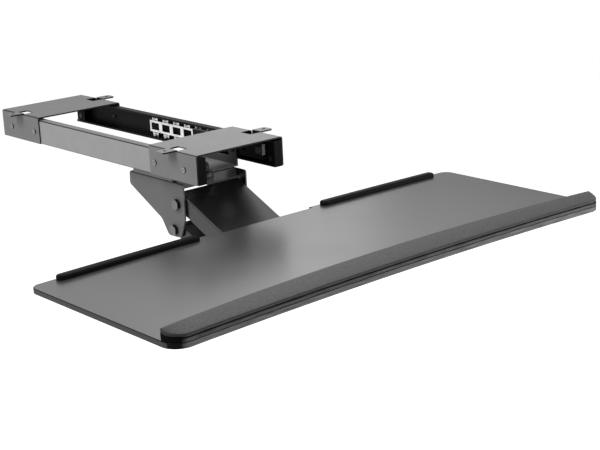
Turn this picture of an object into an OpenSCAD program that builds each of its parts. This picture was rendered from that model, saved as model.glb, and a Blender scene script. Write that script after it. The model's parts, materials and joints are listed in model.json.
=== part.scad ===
// Keyboard tray that hangs under a desk on two ball bearing slides.
// X is to the user's right, Y is away from the user, Z is up.
// The origin is the centre of the four desk screw holes, on the desk's underside.

/* [Desk brackets] */
// Width of a bracket over its two flanges
bracket_width = 142; // [128:1:160]
// Depth of a bracket along the slides
bracket_depth = 102; // [90:1:120]
// Depth of a flange below the desk
bracket_drop = 40; // [38:1:50]
// Thickness of the bracket sheet
bracket_sheet = 2; // [1.5:0.1:2.5]
// Outer radius of the bends in a bracket
bracket_bend = 3; // [2.6:0.1:4]
// Depth of a bracket plate below the desk
plate_drop = 1; // [0.5:0.1:1.5]

/* [Desk lugs] */
// Length of a lug beyond the flange
lug_length = 19.5; // [18:0.5:24]
// Width of a lug along the slides
lug_width = 18; // [16:0.5:22]
// Gap of the cut behind a lug
lug_relief = 3; // [2:0.1:4]
// Radius of a lug's outer corners
lug_corner = 4; // [2:0.5:6]
// Radius of a desk screw hole
desk_hole_r = 2.6; // [2:0.1:3]
// Distance of a desk screw hole from the flange
desk_hole_inset = 10.5; // [8:0.5:12]

/* [Slides] */
// Length of a rail
rail_length = 478; // [450:1:520]
// Distance of a rail's ends inside the outer edges of the brackets
rail_inset = 1; // [1:0.1:2]
// Height of a rail
rail_height = 35; // [34:0.5:36]
// Depth of a rail across its channel
rail_depth = 12.7; // [12.3:0.1:13.5]
// Thickness of the rail sheet
rail_sheet = 1.6; // [1.4:0.1:1.8]
// Outer radius of a rail's corners
rail_bend = 2.6; // [2:0.1:3]
// Gap between a rail and the plate above it
rail_gap = 2.5; // [2:0.1:3]
// Height of the lips that hold the balls in
rail_lip = 1.2; // [0.8:0.1:1.6]
// Length of a runner, the moving slide member
runner_length = 154; // [140:1:170]
// Distance of a runner's front end behind the front bracket's front edge
runner_setback = 22; // [20:1:30]
// Thickness of the runner sheet
runner_sheet = 1.5; // [1.2:0.1:1.6]
// Depth that a runner stands out of its rail
runner_proud = 0.9; // [0.6:0.1:1.4]
// Length of the bright catch on a runner's front end
catch_length = 16; // [12:0.5:18]
// Height of the catch's bent tab
catch_height = 15; // [12:0.5:17]
// Thickness of the catch sheet
catch_sheet = 1; // [0.8:0.1:1.4]
// Radius of a bearing ball
ball_r = 2.5; // [2.3:0.1:2.6]
// Running gap round a ball
ball_gap = 0.05; // [0.03:0.01:0.08]
// Thickness of the ball cage strip
cage_sheet = 0.8; // [0.6:0.1:1]
// Height of the ball cage's flat strip
cage_height = 16.5; // [15:0.5:17]
// Distance from one cage window to the next
cage_pitch = 26; // [24:0.5:28]
// Number of windows in a ball cage
cage_windows = 8; // [6:1:8]
// Distance of a ball cage's rear end behind the front bracket's front edge
cage_end = 288; // [270:1:300]
// Length of a cage window
window_length = 18.6; // [15:0.2:20]
// Height of a cage window
window_height = 10.5; // [8:0.5:12]
// Length of a cage tab that holds a ball
tab_length = 13; // [10:0.5:15]
// Length of a rear stop block
stop_length = 20; // [15:1:20]
// Length of a front stop block inside the rail
nose_length = 15; // [10:0.5:16]
// Thickness of the cap on a front stop block
nose_cap = 1; // [0.8:0.1:1]
// Radius of the dimples along a rail and of the holes in a runner
rail_hole_r = 2.4; // [2:0.1:3]
// Depth of the dimples along a rail
rail_dimple = 0.8; // [0.5:0.1:1]

/* [Carriage] */
// Distance of the carriage's front edge behind the front bracket's front edge
carriage_setback = 77; // [70:1:85]
// Length of the carriage web
carriage_length = 88; // [80:1:95]
// Thickness of the carriage sheet
carriage_sheet = 2; // [1.6:0.1:2.4]
// Height of the carriage's side walls over the underside of the web
carriage_wall = 12; // [10:0.5:13]
// Gap between the rails' underside and the underside of the web
carriage_drop = 9.5; // [8:0.5:11]
// Length of a tab that reaches up to the runner
ear_length = 16; // [14:1:20]
// Height of a tab over the middle of the runner
ear_rise = 6; // [4:0.5:8]
// Distance of the swivel bolt behind the front edge of the carriage
swivel_inset = 3; // [2:0.5:5]
// Radius of the round tongue that carries the swivel bolt
tongue_r = 11; // [10:0.5:13]
// Height of the swivel nut over its washer
swivel_nut_height = 11; // [9:0.5:12]
// Thickness of the swivel bolt's two washers
swivel_washer = 1.8; // [1.2:0.1:2.4]

/* [Arm base] */
// Width over the two side plates
base_width = 106; // [104:1:110]
// Thickness of the base sheet
base_sheet = 2; // [1.8:0.1:2.4]
// Thickness of the friction disc between the carriage and the base
disc_sheet = 1; // [0.8:0.1:1.5]
// Distance from the front of the side plates to the front of the top plate
base_step = 19; // [16:1:22]
// Length of a side plate along its top
base_length = 121; // [110:1:130]
// Height of the lip that is bent down at the front
base_lip = 12; // [10:0.5:12.5]
// Height of the side plate's rear edge
base_tail = 18; // [14:1:22]
// Height of the side plate below the lower pivot
base_low = 10; // [9:0.5:11]

/* [Arm] */
// Slope of the arm below level, as it hangs here
arm_angle = 24.5; // [22:0.5:27]
// Distance between the two pivots of an arm
arm_length = 125; // [115:1:135]
// Distance of the upper rear pivot behind the front of the side plates
pivot_inset = 15; // [13:0.5:17]
// Depth of the upper rear pivot below the base's top
pivot_drop = 29; // [27:0.5:31]
// Distance between the upper and the lower pivots
pivot_spread = 37.4; // [36:0.2:40]
// Lean of the line through the two rear pivots from upright
pivot_lean = 13.3; // [12:0.1:15]
// Radius of the pivot bolts
pivot_r = 4; // [3:0.5:4.5]
// Thickness of the washers at the pivots
washer_sheet = 1.1; // [0.8:0.1:1.1]
// Gap on each face of a washer
washer_gap = 0.2; // [0.1:0.05:0.3]
// Running gap round a pivot bolt
pivot_gap = 0.05; // [0.03:0.01:0.08]
// Gap round the pivot where the linkage is left open
open_gap = 0.3; // [0.2:0.05:0.5]
// Thickness of the arm sheet
arm_sheet = 2; // [1.6:0.1:2.4]
// Radius of the bends and of the rounded arm ends
arm_bend = 3; // [2.6:0.1:4]
// Radius of an arm's rounded ends
arm_end_r = 8; // [7.5:0.5:9.5]
// Distance behind its rear pivot where the upper arm's top ends
upper_start = 5; // [3:0.5:7]
// Distance in front of its rear pivot where the lower arm's top ends
lower_start = 5; // [3:0.5:7]
// Height of the upper arm's top over its pivots
upper_crown = 15.5; // [14:0.5:16]
// Height of the lower arm's top over its pivots
lower_crown = 9.5; // [9:0.5:12]
// Distance from the front pivots back to where the arm tops end
crown_setback = 24; // [22:1:30]

/* [Head] */
// Thickness of a head plate
head_sheet = 2; // [1.8:0.1:2.4]
// Gap between neighbouring plates that turn on each other
side_gap = 0.3; // [0.2:0.05:0.4]
// Distance of the tilt bolt in front of the upper front pivot
tilt_reach = 24.4; // [22:0.2:28]
// Height of the tilt bolt over the upper front pivot
tilt_rise = 4.8; // [3:0.2:6]
// Radius of a head plate's rounded corners
head_r = 9; // [8:0.5:10]
// Radius of the tilt knob
knob_r = 19; // [15:0.5:20]
// Length of the tilt knob
knob_length = 17; // [14:0.5:20]
// Number of lobes on the tilt knob
knob_lobes = 6; // [5:1:8]

/* [Tray] */
// Width of the board
board_width = 684; // [640:1:720]
// Depth of the board at its middle, front edge to rear edge
board_depth = 272.5; // [268:0.5:285]
// Thickness of the board
board_sheet = 6.6; // [6:0.1:9]
// Thickness of the edge strip round the board
edge_sheet = 1; // [0.8:0.1:1.5]
// Depth of the board's underside below the desk
board_drop = 102; // [101:0.5:104]
// Distance of the board's rear edge in front of the front bracket
board_reach = 29; // [24:0.5:32]
// How far the rear edge bows back at its middle
rear_bow = 7.5; // [5:0.5:12]
// How far the front edge bows back at its middle
front_bow = 12; // [10:0.5:14]
// Radius of the board's rear corners
rear_corner = 14; // [10:1:20]
// Radius of the board's front corners
front_corner = 21; // [18:1:22]
// Width of the recess in the rear edge for the arm
recess_width = 172; // [150:1:180]
// Depth of the recess in the rear edge
recess_depth = 5.5; // [4:0.5:8]

/* [Palm rest] */
// Depth of the palm rest at its middle
palm_depth = 34; // [32:0.5:36]
// How far the palm rest's inner edge bows back at its middle
palm_bow = 21.5; // [20:0.5:22]
// Height of the rigid base wedge at its front edge
palm_base_height = 6; // [5:0.5:7]
// Extra height of the base wedge at its inner edge
palm_base_rise = 5; // [4:0.5:6]
// Thickness of the pad on the wedge
pad_sheet = 2.4; // [2:0.1:3]
// Height of the pad's crown over its slope
pad_crown = 0.8; // [0.4:0.1:1.4]
// Gap that is left under the pad and set back in the groove
pad_gap = 0.3; // [0.2:0.05:0.5]
// Depth by which the pad's rolled edges fall below its top
pad_roll = 1; // [0.6:0.1:1.4]
// Setback of the groove between the pad and its base
groove_setback = 1.2; // [0.8:0.1:2]

/* [Rear stops] */
// Distance of a stop's outer end from the side of the board
stop_margin = 34; // [30:1:44]
// Length of a stop
stop_span = 206; // [180:1:210]
// Depth of a stop from front to back
stop_depth = 13; // [10:0.5:15]
// Height of a stop over the board
stop_height = 6.2; // [5:0.2:8]

/* [Tray bracket] */
// Width of the tray bracket's plate
mount_width = 150; // [130:1:170]
// Depth of the tray bracket's plate
mount_depth = 112; // [100:1:130]
// Thickness of the tray bracket's sheet
mount_sheet = 2.5; // [2:0.1:3]
// Distance of the tray bracket's rear edge in front of the board's rear edge
mount_setback = 8; // [6:0.5:12]
// Radius of the rounded end of the tray bracket's ears
mount_ear_r = 10; // [9:0.5:11]

/* [Fasteners] */
// Radius of the small screw shanks
screw_r = 1.9; // [1.5:0.1:2.2]
// Radius of the small screw heads
screw_head_r = 3.4; // [3:0.1:4]
// Height of the small screw heads
screw_head = 1.6; // [1.2:0.1:2]
// Gap round a screw shank in its hole
screw_gap = 0.05; // [0.03:0.01:0.1]
// Width of the bolt heads and nuts across their flats
hex_flats = 13; // [11:0.5:13]
// Height of the bolt heads and nuts
hex_height = 5; // [4:0.2:6]

/* [Hidden] */

$fn = 32;
eps = 0.5;

// Colours: painted sheet, painted slides, arm, fasteners, zinc, plastics and board
painted = [0.34, 0.34, 0.35];
slide_grey = [0.52, 0.52, 0.53];
arm_black = [0.12, 0.12, 0.13];
bolt_black = [0.16, 0.16, 0.17];
zinc = [0.82, 0.83, 0.84];
plastic_black = [0.15, 0.15, 0.15];
slip_grey = [0.3, 0.3, 0.3];
laminate = [0.38, 0.38, 0.39];
edge_black = [0.24, 0.24, 0.24];
soft_black = [0.3, 0.3, 0.31];

bracket_half = bracket_width / 2;
// Distance between the middles of the two brackets
bracket_pitch = rail_length + 2 * rail_inset - bracket_depth;
front_y = -(bracket_pitch + bracket_depth) / 2;
plate_under = -plate_drop - bracket_sheet;
lug_hole_x = bracket_half + desk_hole_inset;

rail_top = plate_under - rail_gap;
rail_mid = rail_top - rail_height / 2;
rail_under = rail_top - rail_height;
rail_x = bracket_half - bracket_sheet;
rail_mouth = rail_x - rail_depth;
runner_x = rail_mouth - runner_proud;
runner_y = front_y + runner_setback;
ball_z = rail_height / 2 - rail_sheet - ball_r;
runner_half = ball_z - ball_r;
ball_x = rail_mouth + rail_sheet + ball_r + 4 * ball_gap;
runner_reach = ball_x + 0.6 - runner_x;
cage_x = ball_x + 1.2;
cage_length = cage_pitch * cage_windows;
cage_y = front_y + cage_end - cage_length;

carriage_y = front_y + carriage_setback;
carriage_under = rail_under - carriage_drop;
carriage_x = runner_x;
swivel_y = carriage_y + swivel_inset;

base_top = carriage_under - disc_sheet;
base_half = base_width / 2;
base_front = carriage_y - 1 - base_step;
upper_rear = [base_front + pivot_inset, base_top - pivot_drop];
lower_rear = upper_rear + pivot_spread * [sin(pivot_lean), -cos(pivot_lean)];
arm_run = arm_length * [-cos(arm_angle), -sin(arm_angle)];
upper_front = upper_rear + arm_run;
lower_front = lower_rear + arm_run;
arm_half = base_half - base_sheet - washer_sheet - 2 * washer_gap;
arm_inner = arm_half - arm_sheet;

head_half = arm_inner - side_gap;
mount_half = head_half - head_sheet - side_gap;
tilt_axis = upper_front + [-tilt_reach, tilt_rise];

board_top = -board_drop + board_sheet;
board_rear = front_y - board_reach;
board_front = board_rear - board_depth;
board_half = board_width / 2;
stop_outer = board_half - stop_margin;
stop_inner = stop_outer - stop_span;
palm_inner = board_front + palm_depth;
mount_top = -board_drop;
mount_rear = board_rear - mount_setback;

hex_r = hex_flats / 2 / cos(30);

// Places of the two screws in a bracket flange, from the middle of the bracket
flange_screws = [-bracket_depth * 0.24, bracket_depth * 0.38];

// Height of a shallow arch at x, counted from its ends
function arch(x, half, bow) = bow * (1 - pow(x / half, 2));

// Points that round off the corner at b between the sides to a and c
function corner(a, b, c, r, n) =
    let (p = (a - b) / norm(a - b), q = (c - b) / norm(c - b))
    let (half = acos(p * q) / 2, m = (p + q) / norm(p + q))
    let (centre = b + m * r / sin(half))
    let (from = b + p * r / tan(half) - centre, to = b + q * r / tan(half) - centre)
    [for (i = [0 : n]) let (v = from * (n - i) / n + to * i / n) centre + v / norm(v) * r];

// Outline with each corner rounded by its own radius, none where that is 0
function rounded(points, radii, n = 6) =
    let (count = len(points))
    [for (i = [0 : count - 1])
        each (radii[i] == 0 ? [points[i]] : corner(points[(i + count - 1) % count],
            points[i], points[(i + 1) % count], radii[i], n))];

// Outline drawn in Y and Z, made as thick as t along X from x
module across(x, t) {
    translate([x, 0, 0])
        rotate([90, 0, 90])
            linear_extrude(height = t)
                children();
}

// Round bar along X at a point given in Y and Z
module bar_x(x, length, at, r) {
    translate([x, at[0], at[1]])
        rotate([0, 90, 0])
            cylinder(r = r, h = length);
}

// Six-sided bar along X at a point given in Y and Z
module hex_x(x, length, at) {
    translate([x, at[0], at[1]])
        rotate([0, 90, 0])
            cylinder(r = hex_r, h = length, $fn = 6);
}

// Both a piece and its mirror image on the left
module pair() {
    children();
    mirror([1, 0, 0])
        children();
}

// Block with two rounded top edges, its top face at 0
module arched_block(width, height, r) {
    translate([-width / 2, -height])
        square([width, height - r]);
    translate([-width / 2 + r, -height])
        square([width - 2 * r, height]);
    for (side = [-1, 1])
        translate([side * (width / 2 - r), -r])
            circle(r = r);
}

// Sheet bent down along both long edges, its top face at 0
module bent_sheet(width, height, sheet, r) {
    difference() {
        arched_block(width, height, r);
        translate([0, -sheet])
            arched_block(width - 2 * sheet, height, r - sheet);
    }
}

module bracket_lug() {
    difference() {
        union() {
            translate([bracket_half - bracket_sheet, -lug_width / 2, -bracket_sheet])
                cube([lug_length + bracket_sheet - lug_corner, lug_width, bracket_sheet]);
            translate([bracket_half, -lug_width / 2 + lug_corner, -bracket_sheet])
                cube([lug_length, lug_width - 2 * lug_corner, bracket_sheet]);
            for (side = [-1, 1])
                translate([bracket_half + lug_length - lug_corner,
                        side * (lug_width / 2 - lug_corner), -bracket_sheet])
                    cylinder(r = lug_corner, h = bracket_sheet);
            translate([bracket_half - bracket_sheet, -lug_width / 2, -bracket_drop / 3])
                cube([bracket_sheet, lug_width, bracket_drop / 3]);
        }
        translate([lug_hole_x, 0, -2 * bracket_sheet])
            cylinder(r = desk_hole_r, h = 3 * bracket_sheet);
    }
}

// Bracket about its own middle, its outer end towards -Y, with its lugs cut free at one side
module bracket(free_side) {
    cut = lug_width + lug_relief;
    cut_y = free_side * lug_relief / 2 - cut / 2;
    difference() {
        translate([0, bracket_depth / 2, -plate_drop])
            rotate([90, 0, 0])
                linear_extrude(height = bracket_depth)
                    bent_sheet(bracket_width, bracket_drop - plate_drop, bracket_sheet,
                        bracket_bend);
        pair()
            translate([bracket_half - lug_length, cut_y, plate_under - bracket_bend])
                cube([lug_length + eps, cut, bracket_drop / 3]);
        pair()
            for (y = flange_screws)
                bar_x(rail_x - eps, bracket_sheet + 2 * eps, [y, rail_mid],
                    screw_r + screw_gap);
    }
    pair()
        bracket_lug();
}

module front_bracket() {
    color(painted)
        translate([0, -bracket_pitch / 2, 0])
            bracket(1);
}

module rear_bracket() {
    color(painted)
        translate([0, bracket_pitch / 2, 0])
            rotate([0, 0, 180])
                bracket(-1);
}

// Places of the dimples along a rail, as shares of its length from the middle
rail_dimples = [-0.3, 0, 0.3];
// Stop blocks in a rail: their height, where they end and where their rivets are
stop_height_inside = rail_height - 2 * rail_sheet - 2 * rail_lip - 1;
stop_back = rail_length / 2 - 2;
nose_front = -rail_length / 2;
rear_rivet = [stop_back - stop_length / 2, rail_mid - stop_height_inside / 4];
front_rivet = [nose_front + nose_length / 2, rear_rivet[1]];
stop_rivet_places = [rear_rivet, front_rivet];

// Rail channel in X and Z, open towards the middle of the tray
module rail_profile() {
    inner = rail_bend - rail_sheet;
    difference() {
        union() {
            translate([rail_mouth, -rail_height / 2])
                square([rail_depth - rail_bend, rail_height]);
            translate([rail_mouth, -rail_height / 2 + rail_bend])
                square([rail_depth, rail_height - 2 * rail_bend]);
            for (side = [-1, 1])
                translate([rail_x - rail_bend, side * (rail_height / 2 - rail_bend)])
                    circle(r = rail_bend);
        }
        translate([rail_mouth + rail_sheet, -rail_height / 2 + rail_sheet])
            square([rail_depth - rail_sheet - rail_bend, rail_height - 2 * rail_sheet]);
        translate([rail_mouth + rail_sheet, -rail_height / 2 + rail_bend])
            square([rail_depth - 2 * rail_sheet, rail_height - 2 * rail_bend]);
        for (side = [-1, 1])
            translate([rail_x - rail_bend, side * (rail_height / 2 - rail_bend)])
                circle(r = inner);
        translate([rail_mouth - eps, -rail_height / 2 + rail_sheet + rail_lip])
            square([rail_sheet + 2 * eps, rail_height - 2 * rail_sheet - 2 * rail_lip]);
    }
}

module rail() {
    difference() {
        translate([0, rail_length / 2, rail_mid])
            rotate([90, 0, 0])
                linear_extrude(height = rail_length)
                    rail_profile();
        for (end = [-1, 1], y = flange_screws)
            bar_x(rail_x - rail_sheet - eps, rail_sheet + 2 * eps,
                [end * (bracket_pitch / 2 - y), rail_mid], screw_r + screw_gap);
        for (y = rail_dimples)
            bar_x(rail_x - rail_sheet - eps, rail_dimple + eps,
                [y * rail_length, rail_mid], rail_hole_r);
        for (at = stop_rivet_places)
            bar_x(rail_x - rail_sheet - eps, rail_sheet + 2 * eps, at, screw_r + screw_gap);
    }
}

module right_rail() {
    color(slide_grey)
        rail();
}

module left_rail() {
    color(slide_grey)
        mirror([1, 0, 0])
            rail();
}

// Flat-headed screw along -X with its head's inner face at x
module screw_x(x, length, at) {
    bar_x(x - length, length, at, screw_r);
    difference() {
        bar_x(x, screw_head, at, screw_head_r);
        for (turn = [0, 90])
            translate([x + screw_head / 2, at[0], at[1]])
                rotate([turn, 0, 0])
                    translate([0, -screw_r, -0.35])
                        cube([screw_head, 2 * screw_r, 0.7]);
    }
}

module bracket_screws() {
    color(bolt_black)
        pair()
            for (end = [-1, 1], y = flange_screws)
                screw_x(bracket_half, bracket_sheet + rail_sheet + 1,
                    [end * (bracket_pitch / 2 - y), rail_mid]);
}

module rear_stop_blocks() {
    color(plastic_black)
        pair()
            difference() {
                translate([rail_mouth + 0.5, stop_back - stop_length,
                        rail_mid - stop_height_inside / 2])
                    cube([rail_depth - rail_sheet - 0.5, stop_length, stop_height_inside]);
                translate([rail_mouth, stop_back - stop_length + 3, rail_mid - 1])
                    cube([3, stop_length - 6, stop_height_inside / 2 - 2]);
                bar_x(rail_mouth, rail_depth, rear_rivet, screw_r + screw_gap);
            }
}

// Block in a rail's front end, with a cap that closes the end
module front_stop_blocks() {
    color(plastic_black)
        pair()
            difference() {
                union() {
                    translate([rail_mouth, nose_front - nose_cap, rail_under])
                        cube([rail_depth, nose_cap, rail_height]);
                    translate([rail_mouth + 0.5, nose_front - eps,
                            rail_mid - stop_height_inside / 2])
                        cube([rail_depth - rail_sheet - 0.5, nose_length + eps,
                            stop_height_inside]);
                }
                bar_x(rail_mouth, rail_depth, front_rivet, screw_r + screw_gap);
            }
}

// Rivet through each stop block and the rail's web, headed on its inner side
module stop_rivets() {
    color(bolt_black)
        pair()
            for (at = stop_rivet_places) {
                bar_x(rail_mouth + 0.5 - screw_head / 2, screw_head / 2, at, screw_head_r);
                bar_x(rail_mouth, rail_depth, at, screw_r);
            }
}

// One cage of the right slide: a windowed strip with a tab at each ball
module ball_cage() {
    ball_hole = sqrt(pow(ball_r, 2) - pow(cage_x - ball_x, 2)) + 0.3;
    tab_top = ball_z + 1.4;
    difference() {
        union() {
            translate([cage_x, cage_y, rail_mid - cage_height / 2])
                cube([cage_sheet, cage_length, cage_height]);
            for (i = [0 : cage_windows - 1])
                translate([cage_x, cage_y + (i + 0.5) * cage_pitch - tab_length / 2,
                        rail_mid - tab_top])
                    cube([cage_sheet, tab_length, 2 * tab_top]);
        }
        for (i = [0 : cage_windows - 1]) {
            translate([cage_x - eps, cage_y + (i + 0.5) * cage_pitch - window_length / 2,
                    rail_mid - window_height / 2])
                cube([cage_sheet + 2 * eps, window_length, window_height]);
            for (side = [-1, 1]) {
                bar_x(cage_x - eps, cage_sheet + 2 * eps,
                    [cage_y + (i + 0.5) * cage_pitch, rail_mid + side * ball_z], ball_hole);
                translate([cage_x - eps, cage_y + (i + 0.5) * cage_pitch - tab_length / 2 + 1.5,
                        rail_mid + side * (cage_height / 2 + 1) - 0.6])
                    cube([cage_sheet + 2 * eps, tab_length - 3, 1.2]);
            }
        }
    }
}

module right_ball_cage() {
    color(zinc)
        ball_cage();
}

module left_ball_cage() {
    color(zinc)
        mirror([1, 0, 0])
            ball_cage();
}

module bearing_balls() {
    color(zinc)
        pair()
            for (i = [0 : cage_windows - 1], side = [-1, 1])
                translate([ball_x, cage_y + (i + 0.5) * cage_pitch, rail_mid + side * ball_z])
                    sphere(r = ball_r - ball_gap);
}

// Heights and places of the screws between the carriage tabs and a runner
ear_places = [carriage_y + 1, carriage_y + carriage_length - ear_length - 1];
ear_screw_z = rail_mid - runner_half + runner_sheet + screw_head_r + 1;

module runner() {
    difference() {
        union() {
            translate([runner_x, runner_y, rail_mid - runner_half])
                cube([runner_sheet, runner_length, 2 * runner_half]);
            for (side = [0, 1])
                translate([runner_x, runner_y,
                        rail_mid + (side == 0 ? -runner_half : runner_half - runner_sheet)])
                    cube([runner_reach, runner_length, runner_sheet]);
        }
        for (y = ear_places)
            bar_x(runner_x - eps, runner_sheet + 2 * eps, [y + ear_length / 2, ear_screw_z],
                screw_r + screw_gap);
        bar_x(runner_x - eps, runner_sheet + 2 * eps,
            [runner_y + catch_length / 2, rail_mid], rail_hole_r);
        bar_x(runner_x - eps, runner_sheet + 2 * eps,
            [carriage_y - 14, ear_screw_z + 4], rail_hole_r);
    }
}

module right_runner() {
    color(slide_grey)
        runner();
}

module left_runner() {
    color(slide_grey)
        mirror([1, 0, 0])
            runner();
}

module carriage() {
    wall_top = carriage_under + carriage_wall;
    ear_top = rail_mid + ear_rise;
    color(painted)
        difference() {
            union() {
                translate([-carriage_x, carriage_y, carriage_under])
                    cube([2 * carriage_x, carriage_length, carriage_sheet]);
                translate([0, swivel_y, carriage_under])
                    cylinder(r = tongue_r, h = carriage_sheet);
                pair() {
                    translate([carriage_x - carriage_sheet, carriage_y, carriage_under])
                        cube([carriage_sheet, carriage_length, carriage_wall]);
                    for (y = ear_places)
                        translate([carriage_x - carriage_sheet, y, wall_top - eps])
                            cube([carriage_sheet, ear_length, ear_top - wall_top + eps]);
                }
            }
            translate([0, swivel_y, carriage_under - eps])
                cylinder(r = pivot_r + pivot_gap, h = carriage_sheet + 2 * eps);
            pair()
                for (y = ear_places)
                    bar_x(carriage_x - carriage_sheet - eps, carriage_sheet + 2 * eps,
                        [y + ear_length / 2, ear_screw_z], screw_r + screw_gap);
        }
}

module runner_screws() {
    color(bolt_black)
        pair()
            for (y = ear_places)
                mirror([1, 0, 0])
                    screw_x(-carriage_x + carriage_sheet, carriage_sheet + runner_sheet + 1,
                        [y + ear_length / 2, ear_screw_z]);
}

// Bright bent tab at the front end of each runner, riveted through it
module runner_catches() {
    low = rail_mid - catch_height / 4;
    front = runner_y - catch_sheet - 0.2;
    color(zinc)
        pair() {
            translate([runner_x - catch_sheet, front, low])
                cube([catch_sheet, catch_length, catch_height * 0.65]);
            translate([runner_x - 2.4 * catch_sheet, front, low])
                cube([2.4 * catch_sheet + runner_sheet + 1, catch_sheet, catch_height]);
            bar_x(runner_x - 1.8 * catch_sheet, 1.8 * catch_sheet + runner_sheet + 0.8,
                [runner_y + catch_length / 2, rail_mid], rail_hole_r - screw_gap);
        }
}

// Side plate of the arm base in Y and Z
module base_side() {
    rear = base_front + base_length;
    low = lower_rear[1] - base_low;
    polygon(rounded([
            [base_front, base_top],
            [rear, base_top],
            [rear + 1, base_top - base_tail],
            [lower_rear[0] + 28.5, lower_rear[1] + 10.7],
            [lower_rear[0] + 15, low],
            [lower_rear[0] - 12, low + 1],
            [base_front, upper_rear[1] - 18]],
        [4, 3, 5, 12, 9, 6, 12]));
}

module arm_base() {
    tall = base_top - lower_rear[1] + 3 * base_low;
    color(painted)
        difference() {
            union() {
                difference() {
                    intersection() {
                        translate([0, base_front + base_length + eps + 1, base_top])
                            rotate([90, 0, 0])
                                linear_extrude(height = base_length + 2 * eps + 1)
                                    bent_sheet(base_width, tall, base_sheet, arm_bend);
                        across(-base_half, base_width)
                            base_side();
                    }
                    translate([-base_half + base_sheet, base_front - eps, base_top - tall])
                        cube([base_width - 2 * base_sheet, base_step + eps, tall * 2]);
                }
                translate([0, swivel_y, base_top - base_sheet])
                    cylinder(r = tongue_r, h = base_sheet);
                pair()
                    translate([tongue_r + 1, base_front + base_step, base_top - base_lip])
                        cube([base_half - base_sheet - tongue_r - 1, base_sheet, base_lip]);
            }
            for (side = [-1, 1])
                translate([side * (tongue_r + 0.5) - 0.5, base_front + base_step - eps,
                        base_top - base_sheet - eps])
                    cube([1, 6, base_sheet + 2 * eps]);
            translate([0, swivel_y, base_top - base_sheet - eps])
                cylinder(r = pivot_r + pivot_gap, h = base_sheet + 2 * eps);
            for (at = [upper_rear, lower_rear])
                bar_x(-base_half - eps, base_width + 2 * eps, at, pivot_r + pivot_gap);
        }
}

module friction_disc() {
    color(slip_grey)
        translate([0, swivel_y, base_top])
            difference() {
                cylinder(r = tongue_r - 0.6, h = disc_sheet);
                translate([0, 0, -eps])
                    cylinder(r = pivot_r + pivot_gap, h = disc_sheet + 2 * eps);
            }
}

module swivel_bolt() {
    under = base_top - base_sheet;
    over = carriage_under + carriage_sheet + swivel_washer + swivel_nut_height;
    color(bolt_black)
        translate([0, swivel_y, 0]) {
            translate([0, 0, under - hex_height])
                cylinder(r = hex_r, h = hex_height - swivel_washer + eps, $fn = 6);
            translate([0, 0, under - swivel_washer])
                cylinder(r = tongue_r - 0.6, h = swivel_washer);
            translate([0, 0, under - eps])
                cylinder(r = pivot_r, h = over + 1.2 - under + eps);
        }
}

// Lock nut with its washer on top of the carriage web
module swivel_nut() {
    color(bolt_black)
        translate([0, swivel_y, carriage_under + carriage_sheet])
            difference() {
                union() {
                    cylinder(r = tongue_r - 0.6, h = swivel_washer);
                    cylinder(r = hex_r, h = swivel_washer + swivel_nut_height - 2, $fn = 6);
                    cylinder(r = hex_r - 1.6, h = swivel_washer + swivel_nut_height);
                }
                translate([0, 0, -eps])
                    cylinder(r = pivot_r + pivot_gap,
                        h = swivel_washer + swivel_nut_height + 2 * eps);
            }
}

module pivot_bolt(reach, at) {
    hex_x(-reach - hex_height, hex_height, at);
    bar_x(-reach - eps, 2 * reach + hex_height + 1.5 + eps, at, pivot_r);
}

module pivot_nut(reach, at) {
    difference() {
        union() {
            hex_x(reach, hex_height, at);
            bar_x(reach, hex_height + 1, at, hex_r - 1.6);
        }
        bar_x(reach - eps, hex_height + 1 + 2 * eps, at, pivot_r + pivot_gap);
    }
}

module rear_pivot_bolts() {
    color(bolt_black)
        for (at = [upper_rear, lower_rear])
            pivot_bolt(base_half, at);
}

module rear_pivot_nuts() {
    color(bolt_black)
        for (at = [upper_rear, lower_rear])
            pivot_nut(base_half, at);
}

module pivot_washers() {
    color(slip_grey)
        pair()
            for (at = [upper_rear, lower_rear])
                difference() {
                    bar_x(arm_half + washer_gap, washer_sheet, at, arm_end_r - 1);
                    bar_x(arm_half, washer_sheet + 2 * washer_gap, at, pivot_r + pivot_gap);
                }
}

// Tube on a pivot bolt that keeps two plates apart
module spacer(half, at) {
    difference() {
        bar_x(-half, 2 * half, at, pivot_r + 2);
        bar_x(-half - eps, 2 * half + 2 * eps, at, pivot_r + pivot_gap);
    }
}

module rear_spacers() {
    color(zinc)
        for (at = [upper_rear, lower_rear])
            spacer(arm_inner - side_gap, at);
}

// Direction from a circle's centre to where a line from p touches it
function touch(p, r, turn) = atan2(p[1], p[0]) + turn * acos(r / norm(p));

// Points along an arc about a centre
function arc(centre, r, from, to, n) =
    [for (i = [0 : n]) centre + r * [cos(from + (to - from) * i / n), sin(from + (to - from) * i / n)]];

// Arm in its own lengthwise plane, from the rear pivot at the origin
module arm_side(crown, lead) {
    start = [lead, crown];
    stop = [arm_length - crown_setback, crown];
    front = [arm_length, 0];
    polygon(concat(
        [start],
        arc([0, 0], arm_end_r, touch(start, arm_end_r, 1), 270, 10),
        arc(front, arm_end_r, -90, touch(stop - front, arm_end_r, -1), 12),
        [stop]));
}

// Turns a drawing of an arm so that it slopes down from its rear pivot
module along_arm(pivot) {
    translate(pivot)
        rotate(arm_angle)
            mirror([1, 0])
                children();
}

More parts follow.
